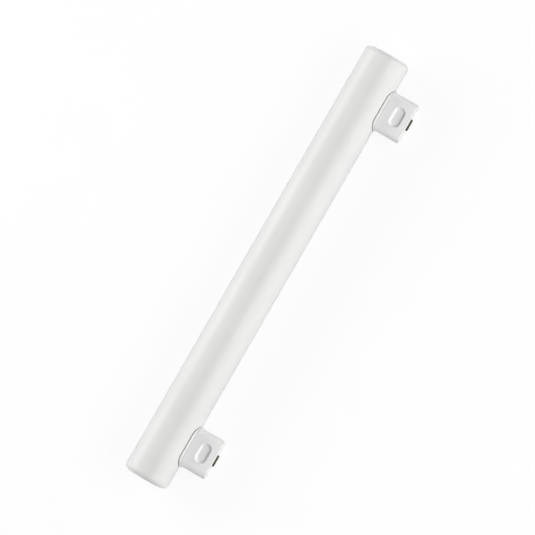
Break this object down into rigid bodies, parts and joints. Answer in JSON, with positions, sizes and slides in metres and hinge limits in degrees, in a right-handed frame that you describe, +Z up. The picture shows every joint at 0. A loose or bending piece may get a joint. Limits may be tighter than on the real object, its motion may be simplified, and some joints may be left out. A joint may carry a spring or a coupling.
{
  "type": "tubular light bulb",
  "caption": "Opal white tubular lamp with a flat-sided plug cap near each end, each with a saddle flange, latch recesses and an end contact.",
  "frame": {"origin": "on the floor under the middle of the lamp, the centre of the bottom of its box as it lies at rest", "axes": "+X along the tube; both caps point towards -Y and dip towards the floor; +Z up"},
  "size_m": [0.3, 0.047, 0.0295],
  "materials": {
    "opal_tube": "smooth satin opal white",
    "white_cap": "satin moulded white",
    "grey_seal": "matt grey",
    "contact_metal": "dull, darkened",
    "lead_sleeve": "smooth sleeve"
  },
  "bodies": {
    "root": {"opal_tube": "opal_tube", "cap_left": "white_cap", "cap_seal_left": "grey_seal", "contact_left": "contact_metal", "lead_left": "lead_sleeve", "cap_right": "white_cap", "cap_seal_right": "grey_seal", "contact_right": "contact_metal", "lead_right": "lead_sleeve"}
  },
  "joints": []
}
